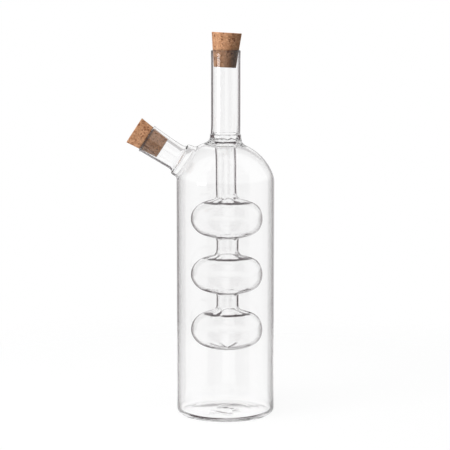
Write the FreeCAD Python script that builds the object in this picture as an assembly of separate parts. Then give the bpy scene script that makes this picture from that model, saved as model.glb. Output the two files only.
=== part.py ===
import FreeCAD, Part

import math
import os

from FreeCAD import Placement, Rotation, Vector

# Oil and vinegar cruet, flame-worked from clear borosilicate glass tube.
# The outer vessel pours through a slanted side spout. A column of blown bulbs hangs inside it
# from a ring seal under the neck and pours through the neck. A tapered cork closes each mouth.
# All the glass is sealed together by flame, so it is one solid.
# Millimetres, +Z up. The origin is the middle of the base, on the surface that the cruet stands
# on, and the spout points towards -X.

# Outer vessel
BODY_D = 71.0
BODY_WALL = 1.5
WALL_HEIGHT = 170.7
SHOULDER_R = 14.4
DOME_RISE = 29.3

# Base
BASE_THICKNESS = 2.0
HEEL_R = 4.0
INNER_HEEL_R = 3.5
PUNT_D = 52.0
PUNT_RISE = 1.2
SEAL_NUB_D = 6.0
SEAL_NUB_RISE = 0.7

# Neck, and its seal to the dome
NECK_D = 20.8
NECK_WALL = 1.15
NECK_LENGTH = 65.7
NECK_FLARE_R = 7.0
SEAL_BEAD_R = 1.0
SEAL_BEAD_PROUD = 0.55
SEAL_BEAD_RISE = 4.6
SEAL_CREASE_R = 0.6

# Ring seal, where the bore narrows from the neck to the inner column
FUNNEL_RISE = 1.6
FUNNEL_BOWL_R = 3.0
FUNNEL_LIP_R = 2.0
CEILING_SEAL_R = 2.4

# Inner column
TUBE_D = 15.0
COLUMN_WALL = 1.2
BULB_COUNT = 3
BULB_D = 52.4
BULB_HEIGHT = 29.8
BULB_SIDE_R = 12.4
BULB_PITCH = 40.8
FIRST_BULB_DROP = 56.2
BULB_WALL = 0.6
THROAT_D = 16.2
BULB_FLARE_R = 3.2

# Side spout
SPOUT_ANGLE = 33.0
SPOUT_RISE = 2.0
SPOUT_LENGTH = 32.5
SPOUT_ROOT_D = 19.1
SPOUT_MOUTH_D = 20.8
SPOUT_WALL = 1.15
SPOUT_LIP_R = 0.75
SPOUT_LIP_CREASE_R = 1.0
COLLAR_D = 23.8
COLLAR_RISE = 4.3
COLLAR_EDGE_R = 1.3
COLLAR_FLARE_R = 3.0
COLLAR_SEAL_R = 5.0
SPOUT_INLET_R = 2.5

# Cork stoppers
STOPPER_TAPER = 6.3
STOPPER_CLEARANCE = 0.1
STOPPER_CHAMFER = 0.3
NECK_STOPPER_INSIDE = 12.2
NECK_STOPPER_PROUD = 12.6
NECK_STOPPER_LEAN = 3.3
SPOUT_STOPPER_INSIDE = 13.5
SPOUT_STOPPER_PROUD = 10.6

# Places that follow from the sizes
BODY_R = BODY_D / 2
NECK_R = NECK_D / 2
NECK_BORE_R = NECK_R - NECK_WALL
TUBE_R = TUBE_D / 2
CROWN_Z = WALL_HEIGHT + DOME_RISE
RIM_Z = CROWN_Z + NECK_LENGTH
BULB_CENTRES = [CROWN_Z - FIRST_BULB_DROP - i * BULB_PITCH for i in range(BULB_COUNT)]
UP = Vector(0, 0, 1)
OVERCUT = 5.0


def at(radius, height):
    """A point of a half section, which lies in the XZ plane."""
    return Vector(radius, 0, height)


class Bend:
    """An arc of a half section. Its radius is negative where the outline is hollow."""

    def __init__(self, centre, radius):
        self.centre = centre
        self.radius = radius
        self.side = centre + at(radius, 0)
        self.top = centre + at(0, radius)
        self.foot = centre - at(0, radius)

    def inset(self, wall):
        """The same bend on a skin that lies one wall further in."""
        return Bend(self.centre, self.radius - wall)

    def meets(self, other):
        """The point where this bend runs on smoothly into another one."""
        share = self.radius / (self.radius - other.radius)
        return self.centre + (other.centre - self.centre) * share

    def next_bend(self, centre_radius, radius, way):
        """A bend that touches this one from above (way 1) or below (way -1)."""
        reach = self.radius - radius
        across = centre_radius - self.centre.x
        rise = way * math.sqrt(reach**2 - across**2)
        return Bend(at(centre_radius, self.centre.z + rise), radius)


class Section:
    """Half a section, drawn as a pen moves along its lines and arcs."""

    def __init__(self, radius, height):
        self.start = at(radius, height)
        self.pen = self.start
        self.edges = []

    def line(self, end):
        self.edges.append(Part.LineSegment(self.pen, end).toShape())
        self.pen = end

    def arc(self, centre, end):
        spoke = self.pen - centre
        middle = (spoke + (end - centre)).normalize() * spoke.Length
        self.edges.append(Part.Arc(self.pen, centre + middle, end).toShape())
        self.pen = end

    def bend(self, bend, end):
        self.arc(bend.centre, end)

    def bow(self, end):
        """A flat arc that is level where it crosses the axis at the pen or at its end."""
        crown, edge = (self.pen, end) if self.pen.x < end.x else (end, self.pen)
        rise = crown.z - edge.z
        radius = (edge.x**2 + rise**2) / (2 * rise)
        self.arc(crown - at(0, radius), end)

    def turned(self):
        """The solid that the closed section makes when it is turned about Z."""
        self.line(self.start)
        return Part.Face(Part.Wire(self.edges)).revolve(Vector(), UP, 360)


def oval(side, half_height, side_radius):
    """The side bend and the crown bend of half an oval whose widest point is given."""
    reach = side.x - side_radius
    crown_radius = (reach**2 + half_height**2 - side_radius**2) / (2 * (half_height - side_radius))
    side_bend = Bend(side - at(side_radius, 0), side_radius)
    return side_bend, Bend(at(0, side.z + half_height - crown_radius), crown_radius)


def below(bend, height):
    """The mirror image of a bend in a level plane."""
    return Bend(at(bend.centre.x, 2 * height - bend.centre.z), bend.radius)


SHOULDER, DOME = oval(at(BODY_R, WALL_HEIGHT), DOME_RISE, SHOULDER_R)


def draw_column(section, tube_wall, bulb_wall):
    """Draws the tube, the bulbs and the closed end downwards, inside their outside by the given walls.

    The bulbs are blown thinner than the tube, and the flares between them take up the change.
    """
    hollow = -BULB_FLARE_R - tube_wall
    for number, height in enumerate(BULB_CENTRES):
        side, crown = oval(at(BULB_D / 2, height), BULB_HEIGHT / 2, BULB_SIDE_R)
        side, crown = side.inset(bulb_wall), crown.inset(bulb_wall)
        floor = below(crown, height)
        stem_r = THROAT_D / 2 if number else TUBE_R
        flare = crown.next_bend(stem_r + BULB_FLARE_R, hollow, 1)
        section.line(flare.side)
        section.bend(flare, flare.meets(crown))
        section.bend(crown, crown.meets(side))
        section.bend(side, floor.meets(side))
        if number < BULB_COUNT - 1:
            flare = floor.next_bend(THROAT_D / 2 + BULB_FLARE_R, hollow, -1)
            section.bend(floor, floor.meets(flare))
            section.bend(flare, flare.side)
        else:
            section.bend(floor, floor.foot)


def draw_seal_and_neck(section):
    """Draws the outside of the neck upwards from the dome, then its fire-polished rim."""
    bead_at = at(NECK_R + SEAL_BEAD_PROUD - SEAL_BEAD_R, CROWN_Z + SEAL_BEAD_RISE)
    bead = Bend(bead_at, SEAL_BEAD_R)
    crease = bead.next_bend(NECK_R + SEAL_CREASE_R, -SEAL_CREASE_R, 1)
    flare = Bend(bead.side + at(NECK_FLARE_R, 0), -NECK_FLARE_R)
    root = DOME.next_bend(flare.centre.x, -NECK_FLARE_R, 1)
    section.bend(DOME, DOME.meets(root))
    section.bend(root, root.side)
    section.line(bead.side)
    section.bend(bead, bead.meets(crease))
    section.bend(crease, crease.side)
    rim = Bend(at(NECK_BORE_R + NECK_WALL / 2, RIM_Z - NECK_WALL / 2), NECK_WALL / 2)
    section.line(rim.side)
    section.bend(rim, rim.top)
    section.bend(rim, rim.centre - at(rim.radius, 0))


def vessel_with_bore():
    """The vessel as if it were filled with glass, with only the neck and column open inside."""
    heel = Bend(at(BODY_R - HEEL_R, HEEL_R), HEEL_R)
    section = Section(0, PUNT_RISE)
    section.bow(at(PUNT_D / 2, 0))
    section.line(heel.foot)
    section.bend(heel, heel.side)
    section.line(SHOULDER.side)
    section.bend(SHOULDER, SHOULDER.meets(DOME))
    draw_seal_and_neck(section)
    bowl = Bend(at(NECK_BORE_R - FUNNEL_BOWL_R, CROWN_Z + FUNNEL_RISE), FUNNEL_BOWL_R)
    lip = bowl.next_bend(TUBE_R - COLUMN_WALL + FUNNEL_LIP_R, -FUNNEL_LIP_R, -1)
    section.line(bowl.side)
    section.bend(bowl, bowl.meets(lip))
    section.bend(lip, lip.side)
    draw_column(section, COLUMN_WALL, BULB_WALL)
    return section.turned()


def chamber():
    """The space between the outer vessel and the inner column."""
    wall_r = BODY_R - BODY_WALL
    heel = Bend(at(wall_r - INNER_HEEL_R, BASE_THICKNESS + INNER_HEEL_R), INNER_HEEL_R)
    shoulder, dome = SHOULDER.inset(BODY_WALL), DOME.inset(BODY_WALL)
    seal = dome.next_bend(TUBE_R + CEILING_SEAL_R, CEILING_SEAL_R, 1)
    section = Section(0, BASE_THICKNESS + PUNT_RISE)
    section.bow(at(PUNT_D / 2, BASE_THICKNESS))
    section.line(heel.foot)
    section.bend(heel, heel.side)
    section.line(shoulder.side)
    section.bend(shoulder, shoulder.meets(dome))
    section.bend(dome, dome.meets(seal))
    section.bend(seal, seal.centre - at(seal.radius, 0))
    draw_column(section, 0, 0)
    return section.turned().cut(seal_nub())


def seal_nub():
    """The small raised mark in the middle of the floor, where the base was closed."""
    foot = BASE_THICKNESS + PUNT_RISE - SEAL_NUB_RISE
    section = Section(0, BASE_THICKNESS + PUNT_RISE + SEAL_NUB_RISE)
    section.bow(at(SEAL_NUB_D / 2, foot))
    section.line(at(0, foot))
    return section.turned()


def spout_place():
    """Where the spout's axis leaves the dome, with the shape's own Z turned along that axis.

    The axis rises from a point on the bottle's axis a little above the dome's centre.
    """
    angle = math.radians(SPOUT_ANGLE)
    reach = math.sqrt(DOME.radius**2 - (SPOUT_RISE * math.cos(angle))**2) - SPOUT_RISE * math.sin(angle)
    along = Vector(-math.cos(angle), 0, math.sin(angle))
    start = DOME.centre + at(0, SPOUT_RISE) + along * reach
    return Placement(start, Rotation(Vector(0, 1, 0), SPOUT_ANGLE - 90))


def collar_seal_radius():
    """The rounding round the collar, which stays on the dome short of the neck's flare."""
    root_angle = math.asin((NECK_R + NECK_FLARE_R) / (DOME.radius + NECK_FLARE_R))
    start = spout_place().Base - DOME.centre
    collar_angle = start.getAngle(UP) - math.asin(COLLAR_D / 2 / DOME.radius)
    return min(COLLAR_SEAL_R, DOME.radius * (collar_angle - root_angle))


def spout_lip():
    """The round bead of the spout's mouth, which runs into the bore without a step."""
    bore_r = SPOUT_MOUTH_D / 2 - SPOUT_WALL
    return Bend(at(bore_r + SPOUT_LIP_R, SPOUT_LENGTH - SPOUT_LIP_R), SPOUT_LIP_R)


def collar_bends():
    """The rounded edge of the raised collar, and the hollow bend from there to the spout's tube."""
    edge = Bend(at(COLLAR_D / 2 - COLLAR_EDGE_R, COLLAR_RISE - COLLAR_EDGE_R), COLLAR_EDGE_R)
    return edge, edge.next_bend(SPOUT_ROOT_D / 2 + COLLAR_FLARE_R, -COLLAR_FLARE_R, 1)


def spout_outside(root_depth):
    """The spout and its raised collar as if they were solid, from inside the dome outwards."""
    edge, flare = collar_bends()
    lip = spout_lip()
    crease = lip.next_bend(SPOUT_MOUTH_D / 2 + SPOUT_LIP_CREASE_R, -SPOUT_LIP_CREASE_R, -1)
    section = Section(0, -root_depth)
    section.line(at(COLLAR_D / 2, -root_depth))
    section.line(edge.side)
    section.bend(edge, edge.meets(flare))
    section.bend(flare, flare.side)
    section.line(crease.side)
    section.bend(crease, crease.meets(lip))
    section.bend(lip, lip.top)
    section.line(at(0, SPOUT_LENGTH))
    return section.turned()


def spout_bore(root_depth):
    """The way through the collar and the spout, one wall inside them, from the chamber to past its mouth."""
    edge, flare = (bend.inset(SPOUT_WALL) for bend in collar_bends())
    lip = spout_lip()
    section = Section(0, -root_depth)
    section.line(at(COLLAR_D / 2 - SPOUT_WALL, -root_depth))
    section.line(edge.side)
    section.bend(edge, edge.meets(flare))
    section.bend(flare, flare.side)
    section.line(lip.centre - at(lip.radius, 0))
    section.arc(lip.centre, lip.top)
    section.line(lip.top + at(0, OVERCUT))
    section.line(at(0, SPOUT_LENGTH + OVERCUT))
    return section.turned()


def joined(first, second, fillet_radius):
    """Two crossing solids as one, with the seam between their skins rounded."""
    both = first.fuse(second)
    skins = [first.Shells[0], second.Shells[0]]
    seam = []
    for edge in both.Edges:
        probes = [Part.Vertex(edge.valueAt(edge.getParameterByLength(edge.Length * share)))
                  for share in (0.3, 0.7)]
        if all(skin.distToShape(probe)[0] < 1e-4 for skin in skins for probe in probes):
            seam.append(edge)
    return both.makeFillet(fillet_radius, seam)


def bottle_glass():
    """The whole blown and sealed glass: vessel, neck, inner column and spout."""
    place = spout_place()
    root_depth = COLLAR_D / 2
    outside = spout_outside(root_depth)
    bore = spout_bore(root_depth)
    outside.Placement = place
    bore.Placement = place
    solid = joined(vessel_with_bore(), outside, collar_seal_radius())
    space = joined(chamber(), bore, SPOUT_INLET_R)
    return solid.cut(space)


def stopper(seat, inside, proud):
    """A tapered cork that touches the rounded edge of a mouth, which is at height 0."""
    slope = math.tan(math.radians(STOPPER_TAPER))
    gap = (seat.radius + STOPPER_CLEARANCE) / math.cos(math.radians(STOPPER_TAPER))
    seat_r = seat.centre.x - gap
    small_r = seat_r - (inside - seat.radius) * slope
    large_r = seat_r + (proud + seat.radius) * slope
    cork = Part.makeCone(small_r, large_r, inside + proud, Vector(0, 0, -inside))
    round_edges = [edge for edge in cork.Edges if isinstance(edge.Curve, Part.Circle)]
    return cork.makeChamfer(STOPPER_CHAMFER, round_edges)


def neck_cork():
    rim = Bend(at(NECK_BORE_R + NECK_WALL / 2, 0), NECK_WALL / 2)
    cork = stopper(rim, NECK_STOPPER_INSIDE, NECK_STOPPER_PROUD)
    cork.Placement = Placement(Vector(0, 0, RIM_Z), Rotation(Vector(0, 1, 0), NECK_STOPPER_LEAN))
    return cork


def spout_cork():
    cork = stopper(spout_lip(), SPOUT_STOPPER_INSIDE, SPOUT_STOPPER_PROUD)
    cork.Placement = spout_place() * Placement(Vector(0, 0, SPOUT_LENGTH), Rotation())
    return cork


def main():
    os.makedirs("parts", exist_ok=True)
    pieces = {
        "bottle_glass": bottle_glass(),
        "neck_cork": neck_cork(),
        "spout_cork": spout_cork(),
    }
    for name, shape in pieces.items():
        shape.exportStep(f"parts/{name}.step")
        print(name, "valid", shape.isValid(), "solids", len(shape.Solids), "mm3", round(shape.Volume))


if __name__ == "__main__":
    main()
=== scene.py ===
"""A clear glass oil and vinegar cruet with two corks, standing on a white studio floor.

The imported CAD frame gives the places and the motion. This script draws the surfaces that are seen in its
place: the flame-worked glass as one closed skin, and the two granulated corks. Sizes are in millimetres and
are turned into metres when a mesh is finished.
"""

import logging
import math
from collections.abc import Callable, Iterable, Sequence
from dataclasses import dataclass
from enum import Enum

import bmesh
import bpy
from mathutils import Matrix, Vector, noise

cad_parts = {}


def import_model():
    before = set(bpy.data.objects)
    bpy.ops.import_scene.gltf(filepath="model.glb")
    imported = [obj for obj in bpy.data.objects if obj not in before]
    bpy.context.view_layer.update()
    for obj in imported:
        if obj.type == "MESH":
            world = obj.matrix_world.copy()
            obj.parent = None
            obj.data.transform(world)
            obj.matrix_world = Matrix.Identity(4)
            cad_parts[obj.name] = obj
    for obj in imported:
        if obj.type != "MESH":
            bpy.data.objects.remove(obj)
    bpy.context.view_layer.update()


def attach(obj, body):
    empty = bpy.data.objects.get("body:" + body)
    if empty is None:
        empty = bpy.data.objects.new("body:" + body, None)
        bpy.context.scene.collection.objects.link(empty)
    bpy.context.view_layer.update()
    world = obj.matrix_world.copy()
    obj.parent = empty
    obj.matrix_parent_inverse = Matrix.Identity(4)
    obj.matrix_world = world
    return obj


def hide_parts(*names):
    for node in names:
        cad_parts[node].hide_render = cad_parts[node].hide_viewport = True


LOG = logging.getLogger("cruet")
MM = 0.001
UP = Vector((0.0, 0.0, 1.0))
ACROSS = Vector((0.0, 1.0, 0.0))
GLASS_BOUNCES = 32
MIRROR_BOUNCES = 24
CLEAR_BOUNCES = 16
LAMP_TARGET = Vector((0.0, 0.0, 0.15))

# Sizes of the glass and the corks


@dataclass(frozen=True)
class Vessel:
    """The outer vessel and its base, in millimetres."""

    diameter: float = 71.0
    wall: float = 1.1
    wall_height: float = 170.7
    shoulder_radius: float = 14.4
    dome_rise: float = 29.3
    base_thickness: float = 2.0
    heel_radius: float = 4.0
    inner_heel_radius: float = 3.5
    punt_diameter: float = 52.0
    punt_rise: float = 1.2

    @property
    def radius(self) -> float:
        """Outer radius of the wall."""
        return self.diameter / 2

    @property
    def crown(self) -> float:
        """Height at which the dome would cross the axis."""
        return self.wall_height + self.dome_rise


@dataclass(frozen=True)
class Neck:
    """The neck, the weld bead at its root and the ring seal inside it, in millimetres."""

    diameter: float = 21.3
    off_axis: float = 0.25
    wall: float = 1.15
    root_wall: float = 1.3
    cork_room: float = 6.5
    length: float = 65.7
    flare_radius: float = 7.0
    bead_radius: float = 1.0
    bead_proud: float = 0.55
    bead_rise: float = 4.6
    crease_radius: float = 0.6
    funnel_rise: float = 1.6
    bowl_radius: float = 3.0
    lip_radius: float = 2.0
    ceiling_radius: float = 2.4

    @property
    def radius(self) -> float:
        """Outer radius."""
        return self.diameter / 2

    @property
    def bore(self) -> float:
        """Radius of the bore at the rim."""
        return self.radius - self.wall

    @property
    def root_bore(self) -> float:
        """Radius of the bore below the cork, where the glass is thicker."""
        return self.radius - self.root_wall


@dataclass(frozen=True)
class Column:
    """The inner tube and its blown bulbs, in millimetres."""

    tube: float = 15.0
    wall: float = 1.2
    bulbs: int = 3
    bulb_diameter: float = 52.4
    bulb_height: float = 29.8
    bulb_wall: float = 0.26
    crown_wall: float = 0.85
    ledge: tuple[float, float] = (13.8, 17.5)
    side_radius: float = 12.4
    pitch: float = 40.8
    off_axis: tuple[float, float] = (0.45, 1.55)
    first_drop: float = 56.2
    throat: float = 16.2
    flare_radius: float = 4.2
    foot_radius: float = 2.0


@dataclass(frozen=True)
class Spout:
    """The slanted side spout and its raised collar, in millimetres and degrees."""

    angle: float = 33.0
    rise: float = 2.0
    length: float = 32.5
    root: float = 19.1
    mouth: float = 20.8
    wall: float = 1.15
    root_wall: float = 1.5
    lip_radius: float = 0.75
    lip_crease: float = 1.0
    collar: float = 23.8
    collar_rise: float = 4.3
    edge_radius: float = 1.3
    collar_flare: float = 3.0
    seal_radius: float = 3.4
    seal_overlap: float = 0.6
    inlet_radius: float = 2.5
    inlet_margin: float = 0.9


@dataclass(frozen=True)
class Handwork:
    """How the flame pulled the glass a little out of true, in millimetres.

    A fade gives where a change begins and over what length it comes in. A grain is a frequency per
    millimetre, and a spread is in square millimetres.
    """

    crown_turns: float = 2.6
    crown_grain: float = 0.06
    crown_mean: float = 0.9
    crown_swing: float = 1.2
    crown_least: float = 0.2
    hang_fade: tuple[float, float] = (1.0, 12.0)
    column_fade: tuple[float, float] = (6.0, 9.0)
    neck_fade: tuple[float, float] = (3.0, 10.0)
    neck_margin: float = 1.0
    seal_rise: float = 1.5
    seal_reach: float = 9.0
    seal_margin: float = 3.0
    seal_width: float = 3.2
    seal_grain: float = 0.42
    seal_wave: float = 0.45
    pull: float = 2.6
    pull_place: float = -19.0
    pull_margin: float = 0.5
    pull_spread: tuple[float, float] = (85.0, 120.0)
    pull_top: tuple[float, float] = (4.5, 6.0)
    floor_band: tuple[float, float] = (0.4, 0.5)
    swirl: float = 0.3
    swirl_pitch: float = 0.24
    swirl_grain: float = 0.12
    swirl_rim: tuple[float, float] = (21.0, 6.0)
    swirl_eye: tuple[float, float] = (2.0, 4.0)
    nub: float = 0.7
    nub_radius: float = 1.5


@dataclass(frozen=True)
class Stopper:
    """A tapered cork in a mouth, in millimetres and degrees, with painted shade where the rim meets it."""

    inside: float
    proud: float
    seed: float
    lean: float = 0.0
    taper: float = 6.3
    clearance: float = 0.1
    edge_radius: float = 0.3
    # Painted shade: a dark band on the cork under the glass rim, standing in for the rim's dark edge and the
    # contact shadow. Its strength, its depth below the mouth and its width.
    rim_shade: float = 0.3
    rim_shade_depth: float = 0.5
    rim_shade_width: float = 0.9


NECK_CORK = Stopper(inside=12.2, proud=12.6, seed=3.0, lean=3.3)
# The spout's cork gets the painted shade under its rim three times as strong.
SPOUT_CORK = Stopper(inside=13.5, proud=10.6, seed=17.0, rim_shade=0.9)


# Finishes


@dataclass(frozen=True)
class GlassFinish:
    """Clear borosilicate tube, blown and sealed in a flame."""

    tint: str = "#FFFFFF"
    index: float = 1.473
    shade: str = "#EAEBEB"


@dataclass(frozen=True)
class CorkFinish:
    """Ground cork, moulded into a rod, turned to a taper and left raw.

    Grains and reliefs are in millimetres. A tone range gives where a colour starts and where it is full, and
    in some a third value is its largest share.
    """

    pale: str = "#D8A680"
    body: str = "#C08B66"
    dark: str = "#8F6044"
    pit: str = "#5A382A"
    # Colour of the painted shade on the cork under the glass rim.
    rim_shade: str = "#3A241A"
    granule: float = 1.3
    relief: float = 0.1
    seam_width: float = 0.22
    seam_depth: float = 0.55
    coarse_depth: float = 0.25
    coarse_scale: float = 0.42
    pit_scale: float = 1.5
    pit_level: float = 0.4
    fine_grain: float = 0.9
    speck_grain: float = 1.1
    pale_tones: tuple[float, float] = (0.15, 0.95)
    dark_tones: tuple[float, float] = (0.16, 0.04)
    mottle_tones: tuple[float, float, float] = (0.5, 0.72, 0.55)
    speck_tones: tuple[float, float, float] = (0.62, 0.74, 0.8)
    seam_line: tuple[float, float] = (0.07, 0.4)
    bump: float = 0.25
    roughness: float = 0.85
    specular: float = 0.25


@dataclass(frozen=True)
class FloorFinish:
    """Matt white paper sweep under studio light."""

    paper: str = "#FFFFFF"
    shown_white: float = 0.92
    fade: tuple[float, float] = (0.6, 0.98)
    drop: float = 0.05


class Ray(Enum):
    """What the Light Path node says of a ray, for the materials and the surround that depend on it."""

    CAMERA = "Is Camera Ray"
    GLOSSY = "Is Glossy Ray"
    TRANSMISSION = "Is Transmission Ray"
    SHADOW = "Is Shadow Ray"
    SCATTERED = "Diffuse Depth"
    REFLECTED = "Glossy Depth"
    REFRACTED = "Transmission Depth"


@dataclass(frozen=True)
class Studio:
    """The white surround, the even light on the corks, and the dark flags that the glass reflects.

    Azimuths are in degrees from the nearer end of the line through the camera and the cruet, and heights are
    the upward part of a direction of length 1. Flags and band fade from the first value to the second. The
    room is the dark share that reflected light sees, for first reflections and for those deep in the glass.
    The last three say from how many passes or reflections on light counts as deep, plain or trapped.
    """

    fill: float = 0.17
    rear: float = 0.6
    rear_edge: float = 0.7
    flag: str = "#3C282F"
    room: tuple[float, float] = (0.57, 0.13)
    room_top: tuple[float, float] = (0.05, 0.25)
    turn: float = 8.0
    flag_near: tuple[float, float] = (12.0, 18.0)
    flag_far: tuple[float, float] = (50.0, 60.0)
    flag_top: tuple[float, float] = (0.04, 0.1)
    band: tuple[float, float] = (0.03, 0.16)
    band_edge: float = 0.03
    haze: float = 0.45
    floor_radius: float = 0.45
    deep_passes: float = 2.5
    plain_bounces: float = 1.5
    trapped_bounces: float = 4.5


@dataclass(frozen=True)
class Lamp:
    """A softbox aimed at the cruet, with its place in degrees and metres and its power in watts.

    The glass mirrors only the lamp that is meant to draw the highlight.
    """

    name: str
    azimuth: float
    elevation: float
    distance: float
    width: float
    height: float
    power: float
    mirrored: bool = False


@dataclass(frozen=True)
class View:
    """The photograph's camera, in millimetres."""

    place: tuple[float, float, float] = (-0.3, -1191.6, 281.1)
    target: tuple[float, float, float] = (-0.3, 0.0, 139.0)
    lens: float = 131.7
    clip: tuple[float, float] = (0.01, 50.0)


LAMPS = (
    Lamp("key_softbox", -52.0, 18.0, 1.25, 0.6, 0.9, 8.5),
    Lamp("strip_softbox", -57.0, 4.6, 1.25, 0.5, 0.24, 3.1, mirrored=True),
    Lamp("top_softbox", -40.0, 72.0, 1.3, 0.7, 0.7, 15.0),
)


# Arcs, half sections and the spout's frame


def at(radius: float, height: float) -> Vector:
    """Returns a point of a half section, which lies in the XZ plane."""
    return Vector((radius, 0.0, height))


@dataclass(frozen=True)
class Bend:
    """An arc of a half section. Its radius is negative where the outline is hollow."""

    centre: Vector
    radius: float

    @property
    def side(self) -> Vector:
        """The point furthest from the axis."""
        return self.centre + at(self.radius, 0)

    @property
    def near_side(self) -> Vector:
        """The point nearest to the axis."""
        return self.centre - at(self.radius, 0)

    @property
    def top(self) -> Vector:
        """The highest point."""
        return self.centre + at(0, self.radius)

    @property
    def foot(self) -> Vector:
        """The lowest point."""
        return self.centre - at(0, self.radius)

    def inset(self, wall: float) -> "Bend":
        """Returns the same bend on a skin that lies one wall further in."""
        return Bend(self.centre, self.radius - wall)

    def meets(self, other: "Bend") -> Vector:
        """Returns the point where this bend runs on smoothly into another one."""
        share = self.radius / (self.radius - other.radius)
        return self.centre + (other.centre - self.centre) * share

    def next_bend(self, centre_radius: float, radius: float, way: int) -> "Bend":
        """Returns a bend that touches this one from above (way 1) or below (way -1).

        Args:
            centre_radius: Distance of its centre from the axis.
            radius: Its signed radius.
            way: 1 for above and -1 for below.

        Returns:
            The touching bend.
        """
        reach = self.radius - radius
        across = centre_radius - self.centre.x
        return Bend(at(centre_radius, self.centre.z + way * math.sqrt(reach**2 - across**2)), radius)

    def mirrored(self, height: float) -> "Bend":
        """Returns the mirror image in a level plane."""
        return Bend(at(self.centre.x, 2 * height - self.centre.z), self.radius)


def oval(side: Vector, half_height: float, side_radius: float) -> tuple[Bend, Bend]:
    """Returns the side bend and the crown bend of half an oval.

    Args:
        side: Its widest point.
        half_height: Height of its crown over the widest point.
        side_radius: Radius of the side bend.

    Returns:
        The side bend and the crown bend.
    """
    reach = side.x - side_radius
    crown = (reach**2 + half_height**2 - side_radius**2) / (2 * (half_height - side_radius))
    return Bend(side - at(side_radius, 0), side_radius), Bend(at(0, side.z + half_height - crown), crown)


def smooth(share: float) -> float:
    """Returns a share eased in and out between 0 and 1."""
    share = min(1.0, max(0.0, share))
    return share * share * (3 - 2 * share)


def arc_turn(start: Vector, end: Vector) -> float:
    """Returns the angle about +Y from one spoke to another."""
    return math.atan2(start.cross(end).y, start.dot(end))


def arc_steps(radius: float, turn: float, chord: float, steepest: float = 18.0) -> int:
    """Returns how many steps keep an arc's chords and corners small."""
    return max(2, math.ceil(abs(turn * radius) / chord), math.ceil(abs(turn) / math.radians(steepest)))


class Pen:
    """Draws half a section in the XZ plane, one bmesh edge after another."""

    def __init__(self, mesh: bmesh.types.BMesh, start: Vector, chord: float) -> None:
        """Puts the pen down.

        Args:
            mesh: Mesh that takes the section.
            start: Its first point.
            chord: Longest chord of an arc.
        """
        self.mesh = mesh
        self.chord = chord
        self.tip = bmesh.ops.create_vert(mesh, co=start)["vert"][0]
        self.first = self.tip

    def line(self, end: Vector, step: float = 6.0) -> None:
        """Draws a straight line in equal steps."""
        cuts = max(1, math.ceil((end - self.tip.co).length / step))
        stride = (end - self.tip.co) / cuts
        for _ in range(cuts):
            made = bmesh.ops.extrude_vert_indiv(self.mesh, verts=[self.tip])["verts"][0]
            made.co = self.tip.co + stride
            self.tip = made

    def arc(self, centre: Vector, end: Vector) -> None:
        """Draws an arc from the tip to a point, the short way round."""
        turn = arc_turn(self.tip.co - centre, end - centre)
        steps = arc_steps((end - centre).length, turn, self.chord)
        spun = bmesh.ops.spin(self.mesh, geom=[self.tip], cent=centre, axis=ACROSS, angle=turn, steps=steps)
        self.tip = next(part for part in spun["geom_last"] if isinstance(part, bmesh.types.BMVert))
        self.tip.co = end

    def bend(self, bend: Bend, end: Vector) -> None:
        """Draws along a bend to a point on it."""
        self.arc(bend.centre, end)

    def bow(self, end: Vector) -> None:
        """Draws a flat arc that is level where it crosses the axis at the tip or at its end."""
        crown, edge = (self.tip.co, end) if self.tip.co.x < end.x else (end, self.tip.co)
        rise = crown.z - edge.z
        self.arc(crown - at(0, (edge.x**2 + rise**2) / (2 * rise)), end)


def turn_about_axis(mesh: bmesh.types.BMesh, segments: int) -> None:
    """Turns all that is drawn in the XZ plane about Z and closes it where it meets the axis."""
    geom = mesh.verts[:] + mesh.edges[:]
    bmesh.ops.spin(mesh, geom=geom, cent=(0, 0, 0), axis=UP, angle=math.tau, steps=segments, use_merge=True)
    poles = [vert for vert in mesh.verts if vert.co.xy.length < 1e-4]
    bmesh.ops.remove_doubles(mesh, verts=poles, dist=1e-3)


class DomeSkin:
    """The dome, shoulder and wall of one skin of the vessel, as a surface turned about Z."""

    def __init__(self, shoulder: Bend, dome: Bend) -> None:
        """Keeps the two bends of the skin's half section."""
        self.shoulder = shoulder
        self.dome = dome
        seam = shoulder.centre - dome.centre
        self.seam = math.atan2(seam.z, seam.x)

    def offset(self, distance: float) -> "DomeSkin":
        """Returns the skin that lies further out."""
        return DomeSkin(self.shoulder.inset(-distance), self.dome.inset(-distance))

    def gap(self, point: Vector) -> tuple[float, Vector]:
        """Returns a point's distance outside the skin, and the skin's normal there."""
        out = Vector((point.x, point.y, 0.0))
        reach = point - self.dome.centre
        if math.atan2(reach.z, out.length) > self.seam:
            return reach.length - self.dome.radius, reach.normalized()
        if point.z < self.shoulder.centre.z:
            return out.length - self.shoulder.side.x, out.normalized()
        spoke = point - out.normalized() * self.shoulder.centre.x - at(0, self.shoulder.centre.z)
        return spoke.length - self.shoulder.radius, spoke.normalized()

    def nearest(self, point: Vector) -> Vector:
        """Returns the point of the skin nearest to a point."""
        gap, normal = self.gap(point)
        return point - normal * gap


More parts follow.
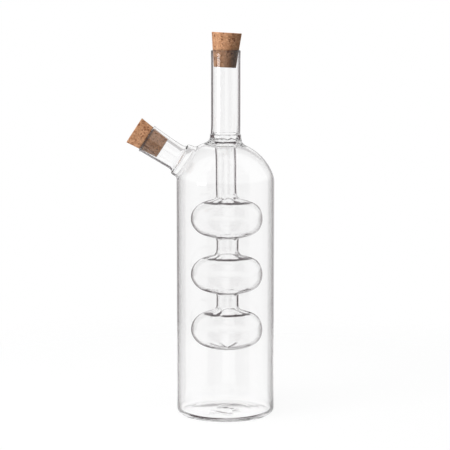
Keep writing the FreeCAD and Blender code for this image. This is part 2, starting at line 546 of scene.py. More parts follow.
class SpoutFrame:
    """Where the spout's axis leaves the dome. Angles run about it from its upper side."""

    SEARCH_STEPS = 8

    def __init__(self, spout: Spout, skin: DomeSkin) -> None:
        """Finds the spout's start on the outer skin."""
        angle, rise = math.radians(spout.angle), spout.rise
        reach = math.sqrt(skin.dome.radius**2 - (rise * math.cos(angle)) ** 2) - rise * math.sin(angle)
        self.along = Vector((-math.cos(angle), 0.0, math.sin(angle)))
        self.above = Vector((math.sin(angle), 0.0, math.cos(angle)))
        self.start = skin.dome.centre + at(0, rise) + self.along * reach

    def point(self, angle: float, radius: float, height: float) -> Vector:
        """Returns the point at an angle, a distance from the axis and a height along it."""
        out = self.above * math.cos(angle) + ACROSS * math.sin(angle)
        return self.start + out * radius + self.along * height

    def radius(self, point: Vector) -> float:
        """Returns a point's distance from the axis."""
        return (point - self.start).cross(self.along).length

    def angle(self, point: Vector) -> float:
        """Returns a point's angle about the axis."""
        return math.atan2((point - self.start).dot(ACROSS), (point - self.start).dot(self.above))

    def on_skin(self, skin: DomeSkin, angle: float, radius: float) -> Vector:
        """Returns the point of a skin at an angle and a distance from the axis."""
        place = self.point(angle, radius, 0.0)
        for _ in range(self.SEARCH_STEPS):
            gap, normal = skin.gap(place)
            place -= self.along * (gap / normal.dot(self.along))
        return place

    def weld(self, skin: DomeSkin, angle: float, tube: float, ball: float, share: float) -> Vector:
        """Returns a point of the rounded seam between a skin and a tube round the spout's axis.

        Args:
            skin: The skin that the tube leaves.
            angle: Angle about the axis.
            tube: Radius of the tube.
            ball: Radius of the rounding.
            share: 0 where the rounding leaves the skin and 1 where it meets the tube.

        Returns:
            The point.
        """
        centre = self.on_skin(skin.offset(ball), angle, tube + ball)
        down = -skin.gap(centre)[1]
        inward = self.point(angle, 0.0, 0.0) - self.point(angle, 1.0, 0.0)
        return centre + down.slerp(inward, share) * ball


class Ring:
    """A closed loop of vertices round the spout, in order, at even angles."""

    def __init__(
        self, mesh: bmesh.types.BMesh, verts: Sequence[bmesh.types.BMVert], angles: Sequence[float]
    ) -> None:
        """Keeps the loop and its angles."""
        self.mesh = mesh
        self.verts = list(verts)
        self.angles = list(angles)

    @property
    def edges(self) -> list[bmesh.types.BMEdge]:
        """The loop's own edges."""
        pairs = zip(self.verts, self.verts[1:] + self.verts[:1])
        return [edge for a, b in pairs for edge in a.link_edges if edge.other_vert(a) is b]

    def place(self, where: Callable[[float], Vector]) -> None:
        """Puts each vertex where a function of its angle says."""
        for vert, angle in zip(self.verts, self.angles):
            vert.co = where(angle)

    def grown(self, where: Callable[[float], Vector]) -> "Ring":
        """Extrudes the loop into a new one and places that."""
        made = bmesh.ops.extrude_edge_only(self.mesh, edges=self.edges)["geom"]
        fresh = {part for part in made if isinstance(part, bmesh.types.BMVert)}
        verts = [next(e.other_vert(v) for e in v.link_edges if e.other_vert(v) in fresh) for v in self.verts]
        ring = Ring(self.mesh, verts, self.angles)
        ring.place(where)
        return ring


def walk(edges: Iterable[bmesh.types.BMEdge]) -> list[bmesh.types.BMVert]:
    """Returns the vertices of one closed loop of edges in order."""
    left = set(edges)
    edge = left.pop()
    start, tip = edge.verts
    found = [start]
    while tip is not start:
        found.append(tip)
        edge = next(e for e in tip.link_edges if e in left)
        left.remove(edge)
        tip = edge.other_vert(tip)
    return found


ON_SKIN = 0.05
EASED_WIDTH = 3.0
EASING_ROUNDS = 30


def cut_hole(mesh: bmesh.types.BMesh, frame: SpoutFrame, skin: DomeSkin, radius: float) -> Ring:
    """Opens a round hole in one skin of the dome, where the spout leaves it.

    Args:
        mesh: Mesh with that skin.
        frame: The spout's frame.
        skin: The skin.
        radius: The hole's radius about the spout's axis.

    Returns:
        The hole's edge, at even angles.
    """

    def on_this_skin(point: Vector) -> bool:
        return (point - frame.start).length < 2 * radius and abs(skin.gap(point)[0]) < ON_SKIN

    inside = [
        face
        for face in mesh.faces
        if frame.radius(face.calc_center_median()) < radius and all(on_this_skin(v.co) for v in face.verts)
    ]
    bmesh.ops.delete(mesh, geom=inside, context="FACES")
    loop = walk(e for e in mesh.edges if e.is_boundary and on_this_skin(e.verts[0].co))
    pairs = zip(loop, loop[1:] + loop[:1])
    turn = sum(math.remainder(frame.angle(b.co) - frame.angle(a.co), math.tau) for a, b in pairs)
    stride = math.copysign(math.tau / len(loop), turn)
    drift = [math.remainder(frame.angle(vert.co) - n * stride, math.tau) for n, vert in enumerate(loop)]
    mean = math.atan2(sum(math.sin(d) for d in drift), sum(math.cos(d) for d in drift))
    ring = Ring(mesh, loop, [mean + n * stride for n in range(len(loop))])
    ring.place(lambda angle: frame.on_skin(skin, angle, radius))
    fixed = set(loop)
    near = [
        vert
        for vert in mesh.verts
        if vert not in fixed
        and frame.radius(vert.co) < radius + EASED_WIDTH
        and on_this_skin(vert.co)
        and all(abs(skin.gap(e.other_vert(vert).co)[0]) < ON_SKIN for e in vert.link_edges)
    ]
    for _ in range(EASING_ROUNDS):
        bmesh.ops.smooth_vert(mesh, verts=near, factor=0.5, use_axis_x=True, use_axis_y=True, use_axis_z=True)
        for vert in near:
            vert.co = skin.nearest(vert.co)
    return ring


# The glass


class Glass:
    """The bottle's glass: outside and inner bore as one skin, the outer chamber as another, and the spout."""

    SEGMENTS = 128
    CHORD = 1.35
    FLOOR_CHORD = 0.945
    FINE_STEP = 1.5
    WALL_STEP = 2.5
    CROWN = "crown"
    BORE_MARGIN = 0.3
    OUTER_SEAM = (0.0, 0.14, 0.28, 0.42, 0.56, 0.7, 0.85, 1.0)
    INNER_SEAM = (1.0, 0.75, 0.5, 0.25, 0.0)

    def __init__(self, vessel: Vessel, neck: Neck, column: Column, spout: Spout, work: Handwork) -> None:
        """Keeps the sizes and works out the dome's skins."""
        self.work = work
        self.vessel = vessel
        self.neck = neck
        self.column = column
        self.spout = spout
        shoulder, dome = oval(at(vessel.radius, vessel.wall_height), vessel.dome_rise, vessel.shoulder_radius)
        self.outer = DomeSkin(shoulder, dome)
        self.inner = self.outer.offset(-vessel.wall)
        self.frame = SpoutFrame(spout, self.outer)
        self.heights = [vessel.crown - column.first_drop - n * column.pitch for n in range(column.bulbs)]

    @property
    def rim(self) -> float:
        """Height of the neck's rim."""
        return self.vessel.crown + self.neck.length

    def rim_bend(self) -> Bend:
        """Returns the fire-polished rim of the neck."""
        half = self.neck.wall / 2
        return Bend(at(self.neck.bore + half, self.rim - half), half)

    def lip_bend(self) -> Bend:
        """Returns the rounded lip of the spout, in the spout's own frame."""
        size, radius = self.spout, self.spout.lip_radius
        return Bend(at(size.mouth / 2 - size.wall + radius, size.length - radius), radius)

    def draw_column(self, pen: Pen, tube_wall: float, bulb_wall: float) -> None:
        """Draws the tube, the bulbs and the closed end downwards.

        Args:
            pen: Pen that stands at the top of the tube.
            tube_wall: How far inside the tube's outside the line runs, 0 for the outside itself.
            bulb_wall: The same for the bulbs. The bore's points keep their share of a crown's thickness.
        """
        size = self.column
        before = set(pen.mesh.verts)
        for number, height in enumerate(self.heights):
            side, crown = oval(at(size.bulb_diameter / 2, height), size.bulb_height / 2, size.side_radius)
            side, crown = side.inset(bulb_wall), crown.inset(bulb_wall)
            floor = crown.mirrored(height)
            stem = size.throat / 2 if number else size.tube / 2
            flare = crown.next_bend(stem + size.flare_radius, -size.flare_radius - tube_wall, 1)
            pen.line(flare.side)
            pen.bend(flare, flare.meets(crown))
            pen.bend(crown, crown.meets(side))
            pen.bend(side, side.side)
            pen.bend(side, floor.meets(side))
            if number < size.bulbs - 1:
                flare = floor.next_bend(size.throat / 2 + size.foot_radius, -size.foot_radius - tube_wall, -1)
                pen.bend(floor, floor.meets(flare))
                pen.bend(flare, flare.side)
            else:
                pen.bend(floor, floor.foot)
        if bulb_wall:
            crown = pen.mesh.verts.layers.float[self.CROWN]
            for vert in set(pen.mesh.verts) - before:
                vert[crown] = self.crown_share(vert.co)

    def crown_share(self, point: Vector) -> float:
        """Returns how much of a crown's extra thickness a point of the bore's half section has.

        Args:
            point: A point of the half section.

        Returns:
            The share, negative above a bulb's middle, where the bore lies below the thick glass.
        """
        size = self.column
        height = min(self.heights, key=lambda middle: abs(middle - point.z))
        inner, outer = size.ledge
        in_tube = point.x < size.tube / 2 - size.wall + self.BORE_MARGIN and point.z > self.heights[-1]
        share = 0.0 if in_tube else smooth((outer - point.x) / (outer - inner))
        return math.copysign(share, height - point.z)

    def draw_outside(self, mesh: bmesh.types.BMesh) -> None:
        """Draws the base, wall, dome, neck and rim, and then the bore down to the end of the column."""
        size, neck = self.vessel, self.neck
        heel = Bend(at(size.radius - size.heel_radius, size.heel_radius), size.heel_radius)
        dome = self.outer.dome
        pen = Pen(mesh, at(0, size.punt_rise), self.CHORD)
        pen.bow(at(size.punt_diameter / 2, 0))
        pen.line(heel.foot, self.FINE_STEP)
        pen.bend(heel, heel.side)
        pen.line(self.outer.shoulder.side)
        pen.bend(self.outer.shoulder, self.outer.shoulder.meets(dome))
        bead_centre = at(neck.radius + neck.bead_proud - neck.bead_radius, size.crown + neck.bead_rise)
        bead = Bend(bead_centre, neck.bead_radius)
        crease = bead.next_bend(neck.radius + neck.crease_radius, -neck.crease_radius, 1)
        flare = Bend(bead.side + at(neck.flare_radius, 0), -neck.flare_radius)
        root = dome.next_bend(flare.centre.x, -neck.flare_radius, 1)
        pen.bend(dome, dome.meets(root))
        pen.bend(root, root.side)
        pen.line(bead.side)
        pen.bend(bead, bead.meets(crease))
        pen.bend(crease, crease.side)
        rim = self.rim_bend()
        pen.line(rim.side)
        pen.bend(rim, rim.top)
        pen.bend(rim, rim.near_side)
        pen.line(at(neck.root_bore, self.rim - neck.cork_room), self.WALL_STEP)
        bowl = Bend(at(neck.root_bore - neck.bowl_radius, size.crown + neck.funnel_rise), neck.bowl_radius)
        bore = self.column.tube / 2 - self.column.wall
        lip = bowl.next_bend(bore + neck.lip_radius, -neck.lip_radius, -1)
        pen.line(bowl.side)
        pen.bend(bowl, bowl.meets(lip))
        pen.bend(lip, lip.side)
        self.draw_column(pen, self.column.wall, self.column.bulb_wall)

    def draw_chamber(self, mesh: bmesh.types.BMesh) -> None:
        """Draws the floor, wall and ceiling of the outer chamber, and the outside of the column."""
        size = self.vessel
        corner = size.inner_heel_radius
        heel = Bend(at(size.radius - size.wall - corner, size.base_thickness + corner), corner)
        dome, shoulder = self.inner.dome, self.inner.shoulder
        seal = dome.next_bend(self.column.tube / 2 + self.neck.ceiling_radius, self.neck.ceiling_radius, 1)
        pen = Pen(mesh, at(0, size.base_thickness + size.punt_rise), self.FLOOR_CHORD)
        pen.bow(at(size.punt_diameter / 2, size.base_thickness))
        pen.chord = self.CHORD
        pen.line(heel.foot, self.FINE_STEP)
        pen.bend(heel, heel.side)
        pen.line(shoulder.side)
        pen.bend(shoulder, shoulder.meets(dome))
        pen.bend(dome, dome.meets(seal))
        pen.bend(seal, seal.near_side)
        self.draw_column(pen, 0.0, 0.0)

    def seamed(self, ring: Ring, skin: DomeSkin, tube: float, ball: float, shares: Sequence[float]) -> Ring:
        """Grows a ring along the rounded seam between a skin and a tube of the spout.

        Args:
            ring: Ring to grow from.
            skin: Skin that the tube leaves.
            tube: Radius of the tube.
            ball: Radius of the rounding.
            shares: Places along the seam, 0 at the skin and 1 at the tube.

        Returns:
            The last ring.
        """
        for share in shares:
            ring = ring.grown(lambda angle: self.frame.weld(skin, angle, tube, ball, share))
        return ring

    def add_spout(self, mesh: bmesh.types.BMesh) -> None:
        """Opens both skins of the dome and grows the spout from one to the other."""
        size, frame = self.spout, self.frame
        collar, seal = size.collar / 2, size.seal_radius
        bore = collar - size.wall
        ring = cut_hole(mesh, frame, self.outer, collar + seal - size.seal_overlap)
        inner_hole = cut_hole(mesh, frame, self.inner, bore + size.inlet_radius + size.inlet_margin)
        ring = self.seamed(ring, self.outer, collar, seal, self.OUTER_SEAM)
        edge = Bend(at(collar - size.edge_radius, size.collar_rise - size.edge_radius), size.edge_radius)
        flare = edge.next_bend(size.root / 2 + size.collar_flare, -size.collar_flare, 1)
        lip = self.lip_bend()
        crease = lip.next_bend(size.mouth / 2 + size.lip_crease, -size.lip_crease, -1)
        section = bmesh.new()
        pen = Pen(section, edge.side, self.CHORD)
        pen.bend(edge, edge.meets(flare))
        pen.bend(flare, flare.side)
        pen.line(crease.side, self.WALL_STEP)
        pen.bend(crease, crease.meets(lip))
        pen.bend(lip, lip.top)
        pen.bend(lip, lip.near_side)
        edge, flare = edge.inset(size.wall), flare.inset(size.root_wall)
        pen.line(flare.side, self.WALL_STEP)
        pen.bend(flare, flare.meets(edge))
        pen.bend(edge, edge.side)
        for vert in section.verts:
            radius, height = vert.co.x, vert.co.z
            ring = ring.grown(lambda angle: frame.point(angle, radius, height))
        section.free()
        ring = self.seamed(ring, self.inner, bore, size.inlet_radius, self.INNER_SEAM)
        bmesh.ops.bridge_loops(mesh, edges=ring.edges + inner_hole.edges)

    def worked(self, point: Vector, crown: float) -> Vector:
        """Returns where a point lies once the flame has pulled the glass a little out of true.

        Args:
            point: A point of the true surface.
            crown: Share of a bulb crown's extra thickness at that point.

        Returns:
            The same point on the hand-worked glass.
        """
        moved = point + self.seal_wave(point)
        moved.x += self.column_shift(point) + self.neck_shift(point)
        moved.z += self.crown_sag(point, crown) + self.floor_rise(point) + self.spout_pull(point)
        return moved

    def crown_sag(self, point: Vector, crown: float) -> float:
        """Returns how far the bore lies off under a thick crown, uneven round the bulb."""
        work, size = self.work, self.column
        around = Vector((point.x, point.y, 0.0)).normalized()
        uneven = noise.noise(around * work.crown_turns + UP * (point.z * work.crown_grain))
        share = max(work.crown_least, work.crown_mean + work.crown_swing * uneven)
        return crown * (size.crown_wall - size.bulb_wall) * share

    def column_shift(self, point: Vector) -> float:
        """Returns how far the hanging tube and bulbs stand to one side, nothing at the ring seal."""
        work, size = self.work, self.column
        if point.z <= self.heights[-1] - size.pitch / 2:
            return 0.0
        start, length = work.hang_fade
        hang = smooth((-self.inner.gap(point)[0] - start) / length)
        margin, fade = work.column_fade
        below = smooth((self.heights[0] + size.bulb_height / 2 + margin - point.z) / fade)
        tube, bulb = size.off_axis
        return hang * (tube + (bulb - tube) * below)

    def neck_shift(self, point: Vector) -> float:
        """Returns how far the neck stands to one side of the vessel's axis."""
        if point.xy.length >= self.neck.radius + self.work.neck_margin:
            return 0.0
        start, length = self.work.neck_fade
        return self.neck.off_axis * smooth((point.z - self.vessel.crown - start) / length)

    def seal_wave(self, point: Vector) -> Vector:
        """Returns how the flame has waved the glass of the ring seal in and out."""
        work = self.work
        rise = point.z - self.vessel.crown - work.seal_rise
        if abs(rise) >= work.seal_reach or point.xy.length >= self.neck.radius + work.seal_margin:
            return Vector()
        wave = noise.noise(point * work.seal_grain) * math.exp(-((rise / work.seal_width) ** 2))
        return Vector((point.x, point.y, 0.0)).normalized() * (work.seal_wave * wave)

    def spout_pull(self, point: Vector) -> float:
        """Returns how far the dome was drawn up where the spout was sealed on."""
        work = self.work
        if point.z <= self.vessel.wall_height or point.xy.length <= self.neck.bore + work.pull_margin:
            return 0.0
        along, across = work.pull_spread
        pull = math.exp(-((point.x - work.pull_place) ** 2) / along - point.y**2 / across)
        margin, fade = work.pull_top
        return work.pull * pull * min(1.0, max(0.0, (self.vessel.crown + margin - point.z) / fade))

    def floor_rise(self, point: Vector) -> float:
        """Returns the height of the swirl and the nub that closing the tube left on the chamber's floor."""
        work, size = self.work, self.vessel
        below, above = work.floor_band
        if not -below < point.z - size.base_thickness < size.punt_rise + above:
            return 0.0
        reach, turn = point.xy.length, math.atan2(point.y, point.x)
        drift = 2.0 * noise.noise(point * work.swirl_grain)
        arm = max(0.0, math.cos(turn * 2.0 + work.swirl_pitch * reach + drift))
        (rim, rim_fade), (eye, eye_fade) = work.swirl_rim, work.swirl_eye
        window = smooth((rim - reach) / rim_fade) * smooth((reach - eye) / eye_fade)
        return work.swirl * arm**6 * window + work.nub * math.exp(-((reach / work.nub_radius) ** 2))

    def built(self) -> bmesh.types.BMesh:
        """Returns the whole glass in metres."""
        mesh = bmesh.new()
        crown = mesh.verts.layers.float.new(self.CROWN)
        self.draw_outside(mesh)
        self.draw_chamber(mesh)
        turn_about_axis(mesh, self.SEGMENTS)
        self.add_spout(mesh)
        for vert in mesh.verts:
            vert.co = self.worked(vert.co, vert[crown])
        bmesh.ops.recalc_face_normals(mesh, faces=mesh.faces)
        bmesh.ops.scale(mesh, vec=(MM, MM, MM), verts=mesh.verts)
        return mesh


# The corks


class Cork:
    """One tapered stopper of ground and moulded cork, with the pits that turning opens in it."""

    SEGMENTS = 150
    STEP = 0.45
    # Vertex layer with each vertex's share of the painted shade under the glass rim.
    RIM_SHADE_SHARE = "rim_shade_share"

    def __init__(self, size: Stopper, seat: Bend, place: Matrix, finish: CorkFinish) -> None:
        """Keeps the sizes, the rim that it sits on and its place.

        Args:
            size: The stopper's sizes.
            seat: The rounded rim, in the stopper's own frame, with the mouth at height 0.
            place: Matrix from that frame to the row's, in millimetres.
            finish: The cork's finish.
        """
        self.size = size
        self.place = place
        self.finish = finish
        self.seed = Vector((size.seed, 2.0 * size.seed, -size.seed))
        slope = math.tan(math.radians(size.taper))
        seat_radius = seat.centre.x - (seat.radius + size.clearance) / math.cos(math.radians(size.taper))
        self.small = seat_radius - (size.inside - seat.radius) * slope
        self.large = seat_radius + (size.proud + seat.radius) * slope

    def dented(self, point: Vector, normal: Vector) -> Vector:
        """Returns a surface point sunk into the seams between granules and into loose pits."""
        look = self.finish
        gaps = noise.voronoi((point + self.seed) / look.granule)[0]
        seam = max(0.0, 1.0 - (gaps[1] - gaps[0]) / look.seam_width)
        coarse = noise.noise((point + self.seed) * look.coarse_scale)
        pit = max(0.0, noise.noise((point - self.seed) * look.pit_scale) - look.pit_level) / look.pit_level
        depth = look.seam_depth * seam**2 + min(1.0, pit) + look.coarse_depth * abs(coarse)
        return point - normal * (look.relief * depth)

    def built(self) -> bmesh.types.BMesh:
        """Returns the cork's mesh in metres, in place."""
        mesh = bmesh.new()
        # Layer for the painted shade under the glass rim.
        rim_shade_share = mesh.verts.layers.float.new(self.RIM_SHADE_SHARE)
        size, edge = self.size, self.size.edge_radius
        foot, head = -size.inside, size.proud
        pen = Pen(mesh, at(0, foot), self.STEP)
        pen.line(at(self.small - edge, foot), self.STEP)
        pen.arc(at(self.small - edge, foot + edge), at(self.small, foot + edge))
        pen.line(at(self.large, head - edge), self.STEP)
        pen.arc(at(self.large - edge, head - edge), at(self.large - edge, head))
        pen.line(at(0, head), self.STEP)
        turn_about_axis(mesh, self.SEGMENTS)
        bmesh.ops.recalc_face_normals(mesh, faces=mesh.faces)
        mesh.normal_update()
        spots = [self.dented(vert.co, vert.normal) for vert in mesh.verts]
        for vert, spot in zip(mesh.verts, spots):
            # Paints shade in a band round the cork just under the glass rim.
            vert[rim_shade_share] = size.rim_shade * math.exp(-(((vert.co.z + size.rim_shade_depth) / size.rim_shade_width) ** 2))
            vert.co = spot
        bmesh.ops.transform(mesh, matrix=Matrix.Diagonal((MM, MM, MM, 1.0)) @ self.place, verts=mesh.verts)
        return mesh


# Materials


def colour(code: str) -> tuple[float, float, float, float]:
    """Returns an sRGB hex colour as linear RGBA."""
    parts = [int(code[n : n + 2], 16) / 255 for n in (1, 3, 5)]
    return (*(p / 12.92 if p <= 0.04045 else ((p + 0.055) / 1.055) ** 2.4 for p in parts), 1.0)


def add_node(
    tree: bpy.types.NodeTree, kind: str, inputs: dict | None = None, **settings: object
) -> bpy.types.Node:
    """Adds a shader node.

    Args:
        tree: Node tree that takes it.
        kind: Its type, without the ShaderNode that all of them start with.
        inputs: Values or sockets for its inputs, by name or number.
        **settings: The node's own settings.

    Returns:
        The new node.
    """
    node = tree.nodes.new(f"ShaderNode{kind}")
    for name, value in settings.items():
        setattr(node, name, value)
    for key, value in (inputs or {}).items():
        if isinstance(value, bpy.types.NodeSocket):
            tree.links.new(value, node.inputs[key])
        else:
            node.inputs[key].default_value = value
    return node


def maths(tree: bpy.types.NodeTree, operation: str, *values: object) -> bpy.types.NodeSocket:
    """Adds a Math node and returns its result."""
    return add_node(tree, "Math", dict(enumerate(values)), operation=operation).outputs[0]


def graded(
    tree: bpy.types.NodeTree, value: object, low: float, high: float, to: tuple[float, float] = (0.0, 1.0)
) -> bpy.types.NodeSocket:
    """Adds a smooth Map Range node and returns its result.

    Args:
        tree: Node tree that takes the node.
        value: Value to grade.
        low: Value at which the grade starts. It may be the higher one.
        high: Value at which it ends.
        to: Results at the start and the end.

    Returns:
        The graded value.
    """
    inputs = {"Value": value, "From Min": low, "From Max": high, "To Min": to[0], "To Max": to[1]}
    return add_node(tree, "MapRange", inputs, interpolation_type="SMOOTHSTEP").outputs["Result"]


def blended(tree: bpy.types.NodeTree, share: object, first: object, second: object) -> bpy.types.NodeSocket:
    """Adds a colour mix and returns its result."""
    node = add_node(tree, "Mix", data_type="RGBA")
    for socket, value in ((node.inputs[0], share), (node.inputs[6], first), (node.inputs[7], second)):
        if isinstance(value, bpy.types.NodeSocket):
            tree.links.new(value, socket)
        else:
            socket.default_value = value
    return node.outputs[2]


def new_material(name: str) -> tuple[bpy.types.Material, bpy.types.NodeTree, bpy.types.Node]:
    """Returns a new material with an empty node tree and its output node."""
    material = bpy.data.materials.new(name)
    material.use_nodes = True
    material.node_tree.nodes.clear()
    return material, material.node_tree, add_node(material.node_tree, "OutputMaterial")


def glass_material(finish: GlassFinish) -> bpy.types.Material:
    """Clear borosilicate glass, flame-worked and fire-polished. It lets the lamps' light through."""
    material, tree, output = new_material("borosilicate_glass_fire_polished")
    clarity = {"Roughness": 0.0, "IOR": finish.index, "Transmission Weight": 1.0}
    glass = add_node(tree, "BsdfPrincipled", {"Base Color": colour(finish.tint), **clarity})
    clear = add_node(tree, "BsdfTransparent", {"Color": colour(finish.shade)})
    path = add_node(tree, "LightPath")
    shadow = path.outputs[Ray.SHADOW.value]
    mix = add_node(tree, "MixShader", {0: shadow, 1: glass.outputs[0], 2: clear.outputs[0]})
    tree.links.new(mix.outputs[0], output.inputs["Surface"])
    return material


def cork_material(finish: CorkFinish) -> bpy.types.Material:
    """Granulated cork, compacted with binder, turned and left raw and matt, with painted shade at the rim."""
    material, tree, output = new_material("granulated_cork_turned_raw")
    place = add_node(tree, "TexCoord").outputs["Object"]
    cells = {"Vector": place, "Scale": 1 / (finish.granule * MM), "Randomness": 1.0}
    granules = add_node(tree, "TexVoronoi", cells)
    seams = add_node(tree, "TexVoronoi", cells, feature="DISTANCE_TO_EDGE")
    fine_grain = {"Vector": place, "Scale": 1 / (finish.fine_grain * MM), "Detail": 3.0, "Roughness": 0.6}
    fine = add_node(tree, "TexNoise", fine_grain).outputs["Fac"]
    speck_grain = {"Vector": place, "Scale": 1 / (finish.speck_grain * MM), "Detail": 2.0}
    speck = add_node(tree, "TexNoise", speck_grain).outputs["Fac"]
    tone = add_node(tree, "SeparateColor", {"Color": granules.outputs["Color"]}).outputs[0]
    width, share = finish.seam_line
    line = graded(tree, seams.outputs["Distance"], 0.0, width, (share, 0.0))
    # Share of the painted shade under the glass rim, read from the cork's vertices.
    rim = add_node(tree, "Attribute", attribute_name=Cork.RIM_SHADE_SHARE).outputs["Fac"]
    body = colour(finish.body)
    mottle_from, mottle_to, mottle = finish.mottle_tones
    speck_from, speck_to, specks = finish.speck_tones
    for share, code in (
        (graded(tree, tone, *finish.pale_tones), finish.pale),
        (graded(tree, tone, *finish.dark_tones), finish.dark),
        (graded(tree, fine, mottle_from, mottle_to, (0.0, mottle)), finish.dark),
        (graded(tree, speck, speck_from, speck_to, (0.0, specks)), finish.pit),
        (line, finish.pit),
        # Painted shade in a band under the glass rim.
        (rim, finish.rim_shade),
    ):
        body = blended(tree, share, body, colour(code))
    height = maths(tree, "SUBTRACT", fine, line)
    bump = add_node(tree, "Bump", {"Height": height, "Strength": 0.5, "Distance": finish.bump * MM})
    matt = {"Roughness": finish.roughness, "Specular IOR Level": finish.specular, "Normal": bump.outputs[0]}
    cork = add_node(tree, "BsdfPrincipled", {"Base Color": body, **matt})
    tree.links.new(cork.outputs[0], output.inputs["Surface"])
    return material


def flags(tree: bpy.types.NodeTree, direction: bpy.types.NodeSocket, studio: Studio) -> bpy.types.NodeSocket:
    """Returns the colour of the surround that the glass bends into view.

    Light that comes straight through sees white all round, with a slight haze over the horizon. Light that
    is reflected on its way sees a greyer room, and from inside the glass also a dark flag on each side of
    what is behind and in front, and a dark band over the horizon. Light trapped in a wall comes out dark.

    Args:
        tree: Node tree that takes the nodes.
        direction: Direction from the cruet to the surround.
        studio: The surround's settings.

    Returns:
        A colour socket.
    """
    unit = add_node(tree, "VectorMath", {0: direction}, operation="NORMALIZE").outputs[0]
    parts = add_node(tree, "SeparateXYZ", {0: unit})
    height = parts.outputs["Z"]
    azimuth = maths(tree, "ARCTAN2", parts.outputs["Y"], parts.outputs["X"])
    turned = maths(tree, "ADD", maths(tree, "MULTIPLY", azimuth, 2.0), math.radians(180.0 + 2 * studio.turn))
    wave = maths(tree, "COSINE", turned)

    def beyond(edges: tuple[float, float]) -> bpy.types.NodeSocket:
        near, far = (math.cos(math.radians(2 * edge)) for edge in edges)
        return graded(tree, wave, near, far)

    foot, top = studio.band
    rising = graded(tree, height, foot - studio.band_edge, foot)
    band = maths(tree, "MULTIPLY", rising, graded(tree, height, top + studio.band_edge, top))
    low = graded(tree, height, studio.flag_top[1], studio.flag_top[0])
    near = beyond(studio.flag_near)
    side = maths(tree, "MULTIPLY", low, maths(tree, "SUBTRACT", near, beyond(studio.flag_far)))
    behind = maths(tree, "MULTIPLY", band, maths(tree, "SUBTRACT", 1.0, near))
    path = add_node(tree, "LightPath")
    bounces, passes = path.outputs[Ray.REFLECTED.value], path.outputs[Ray.REFRACTED.value]
    deep = maths(tree, "GREATER_THAN", passes, studio.deep_passes)
    plain = maths(tree, "MAXIMUM", deep, maths(tree, "LESS_THAN", bounces, studio.plain_bounces))
    trapped = maths(tree, "GREATER_THAN", bounces, studio.trapped_bounces)
    dark = maths(tree, "MAXIMUM", maths(tree, "MAXIMUM", side, behind), trapped)
    within = maths(tree, "GREATER_THAN", passes, 0.5)
    dark = maths(tree, "MULTIPLY", within, maths(tree, "MULTIPLY", plain, dark))
    open_room = maths(tree, "MAXIMUM", deep, maths(tree, "SUBTRACT", 1.0, plain))
    room = add_node(tree, "Mix", {0: open_room, 2: studio.room[0], 3: studio.room[1]}).outputs[0]
    room = maths(tree, "MULTIPLY", room, graded(tree, height, studio.room_top[1], studio.room_top[0]))
    haze = maths(tree, "MULTIPLY", band, studio.haze)
    reflected = maths(tree, "GREATER_THAN", bounces, 0.5)
    dark = maths(tree, "MAXIMUM", dark, room)
    share = add_node(tree, "Mix", {0: reflected, 2: haze, 3: dark}).outputs[0]
    return blended(tree, share, colour("#FFFFFF"), colour(studio.flag))


def floor_material(finish: FloorFinish, studio: Studio) -> bpy.types.Material:
    """Matt white paper. It keeps the cruet's shadow, and glass sees the studio's flags in it from afar."""
    material, tree, output = new_material("white_paper_sweep")
    path = add_node(tree, "LightPath")
    place = add_node(tree, "TexCoord").outputs["Object"]
    paper = add_node(tree, "BsdfDiffuse", {"Color": colour(finish.paper)})
    white = add_node(tree, "Emission", {"Color": colour("#FFFFFF"), "Strength": 1.0})
    shown = maths(tree, "MULTIPLY", path.outputs[Ray.CAMERA.value], finish.shown_white)
    seen = add_node(tree, "MixShader", {0: shown, 1: paper.outputs[0], 2: white.outputs[0]})
    away = add_node(tree, "VectorMath", {0: place}, operation="LENGTH").outputs["Value"]
    start, end = (share * studio.floor_radius for share in finish.fade)
    edge = graded(tree, away, start, end)
    away = maths(tree, "MAXIMUM", edge, path.outputs[Ray.TRANSMISSION.value])
    open_air = add_node(tree, "BsdfTransparent")
    faded = add_node(tree, "MixShader", {0: away, 1: seen.outputs[0], 2: open_air.outputs[0]})
    tree.links.new(faded.outputs[0], output.inputs["Surface"])
    return material


# The scene


def to_object(name: str, mesh: bmesh.types.BMesh, material: bpy.types.Material) -> bpy.types.Object:
    """Turns a finished bmesh into a smooth object at the origin.

    Args:
        name: Name of the object and its mesh.
        mesh: The bmesh, which is freed.
        material: Its material.

    Returns:
        The object, linked to the scene.
    """
    for face in mesh.faces:
        face.smooth = True
    data = bpy.data.meshes.new(name)
    mesh.to_mesh(data)
    mesh.free()
    data.materials.append(material)
    made = bpy.data.objects.new(name, data)
    bpy.context.scene.collection.objects.link(made)
    LOG.info("%s: %d faces", name, len(data.polygons))
    return made


def add_piece(
    name: str, mesh: bmesh.types.BMesh, material: bpy.types.Material, body: str, node: str
) -> None:
    """Adds a shown piece in place of a CAD node.

    Args:
        name: Name of the piece.
        mesh: Its bmesh, which is freed.
        material: Its material.
        body: Body that it rides on.
        node: CAD node that it replaces.
    """
    piece = to_object(name, mesh, material)
    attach(piece, body)
    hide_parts(node)


def add_floor(studio: Studio, finish: FloorFinish) -> None:
    """Adds the round white floor just under the standing ring."""
    mesh = bmesh.new()
    bmesh.ops.create_circle(mesh, cap_ends=True, segments=96, radius=studio.floor_radius)
    bmesh.ops.translate(mesh, verts=mesh.verts, vec=(0, 0, -finish.drop * MM))
    to_object("floor", mesh, floor_material(finish, studio))


def grey(level: float) -> tuple[float, float, float, float]:
    """Returns a linear grey as RGBA."""
    return (level, level, level, 1.0)


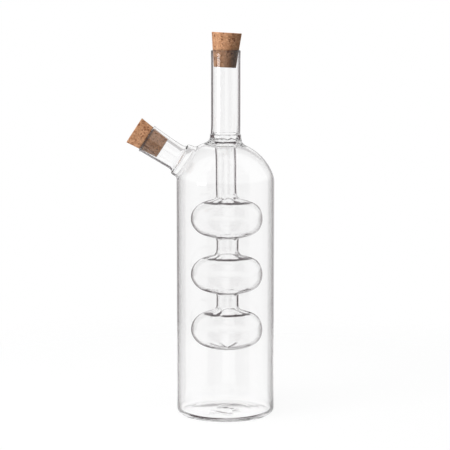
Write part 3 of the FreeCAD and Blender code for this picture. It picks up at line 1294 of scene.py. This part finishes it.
def add_world(studio: Studio) -> None:
    """Adds the surround: white to the camera, flagged to bent light, and an even fill for the corks.

    Light from the surround reaches a cork inside the glass from behind by the rear level, because the lamps
    stand in front.
    """
    world = bpy.data.worlds.new("studio")
    world.use_nodes = True
    tree = world.node_tree
    tree.nodes.clear()
    path = add_node(tree, "LightPath")
    direction = add_node(tree, "TexCoord").outputs["Generated"]
    fill = grey(studio.fill)
    bent = maths(tree, "MAXIMUM", path.outputs[Ray.GLOSSY.value], path.outputs[Ray.TRANSMISSION.value])
    tone = blended(tree, bent, fill, flags(tree, direction, studio))
    scattered = maths(tree, "GREATER_THAN", path.outputs[Ray.SCATTERED.value], 0.5)
    rearward = add_node(tree, "SeparateXYZ", {0: direction}).outputs["Y"]
    inner = blended(tree, graded(tree, rearward, 0.0, studio.rear_edge), grey(0.0), grey(studio.rear))
    tone = blended(tree, scattered, tone, blended(tree, path.outputs[Ray.TRANSMISSION.value], fill, inner))
    tone = blended(tree, path.outputs[Ray.CAMERA.value], tone, grey(1.0))
    background = add_node(tree, "Background", {"Color": tone, "Strength": 1.0})
    output = add_node(tree, "OutputWorld")
    tree.links.new(background.outputs[0], output.inputs["Surface"])
    bpy.context.scene.world = world


def add_lamp(lamp: Lamp, target: Vector) -> None:
    """Adds a softbox that faces a target. Only a mirrored lamp shows as a highlight in the glass."""
    light = bpy.data.lights.new(lamp.name, "AREA")
    light.shape = "RECTANGLE"
    light.size = lamp.width
    light.size_y = lamp.height
    light.energy = lamp.power
    made = bpy.data.objects.new(lamp.name, light)
    azimuth, elevation = math.radians(lamp.azimuth), math.radians(lamp.elevation)
    level = Vector((math.sin(azimuth), -math.cos(azimuth), 0.0))
    away = level * math.cos(elevation) + UP * math.sin(elevation)
    made.location = target + away * lamp.distance
    made.rotation_euler = away.to_track_quat("Z", "Y").to_euler()
    made.visible_camera = False
    made.visible_transmission = False
    made.visible_glossy = lamp.mirrored
    bpy.context.scene.collection.objects.link(made)


def add_camera(view: View) -> None:
    """Adds the photograph's camera."""
    data = bpy.data.cameras.new("photo")
    data.lens = view.lens
    data.clip_start, data.clip_end = view.clip
    camera = bpy.data.objects.new("photo", data)
    place, target = Vector(view.place) * MM, Vector(view.target) * MM
    camera.location = place
    camera.rotation_euler = (place - target).to_track_quat("Z", "Y").to_euler()
    bpy.context.scene.collection.objects.link(camera)
    bpy.context.scene.camera = camera


def build_corks(glass: Glass) -> None:
    """Adds both corks in their mouths."""
    finish = CorkFinish()
    material = cork_material(finish)
    lean = Matrix.Rotation(math.radians(NECK_CORK.lean), 4, "Y")
    neck_place = Matrix.Translation((glass.neck.off_axis, 0, glass.rim)) @ lean
    rim = glass.rim_bend()
    neck_seat = Bend(at(rim.centre.x, 0), rim.radius)
    cork = Cork(NECK_CORK, neck_seat, neck_place, finish)
    add_piece("cork_in_neck", cork.built(), material, "neck_stopper", "neck_cork")
    frame = glass.frame
    mouth = frame.start + frame.along * glass.spout.length
    turn = Matrix.Rotation(math.radians(glass.spout.angle - 90.0), 4, "Y")
    lip = glass.lip_bend()
    spout_seat = Bend(at(lip.centre.x, 0), lip.radius)
    cork = Cork(SPOUT_CORK, spout_seat, Matrix.Translation(mouth) @ turn, finish)
    add_piece("cork_in_spout", cork.built(), material, "spout_stopper", "spout_cork")


def set_up_paths() -> None:
    """Shows colours as they are, and gives light enough turns for the walls inside walls."""
    scene = bpy.context.scene
    scene.view_settings.view_transform = "Standard"
    scene.cycles.max_bounces = GLASS_BOUNCES
    scene.cycles.transmission_bounces = GLASS_BOUNCES
    scene.cycles.glossy_bounces = MIRROR_BOUNCES
    scene.cycles.transparent_max_bounces = CLEAR_BOUNCES


def main() -> None:
    """Builds the whole scene."""
    logging.basicConfig(level=logging.INFO, format="%(name)s: %(message)s")
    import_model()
    glass = Glass(Vessel(), Neck(), Column(), Spout(), Handwork())
    material = glass_material(GlassFinish())
    add_piece("cruet_glass", glass.built(), material, "bottle", "bottle_glass")
    build_corks(glass)
    studio = Studio()
    add_floor(studio, FloorFinish())
    add_world(studio)
    for lamp in LAMPS:
        add_lamp(lamp, LAMP_TARGET)
    add_camera(View())
    set_up_paths()


if __name__ == "__main__":
    main()
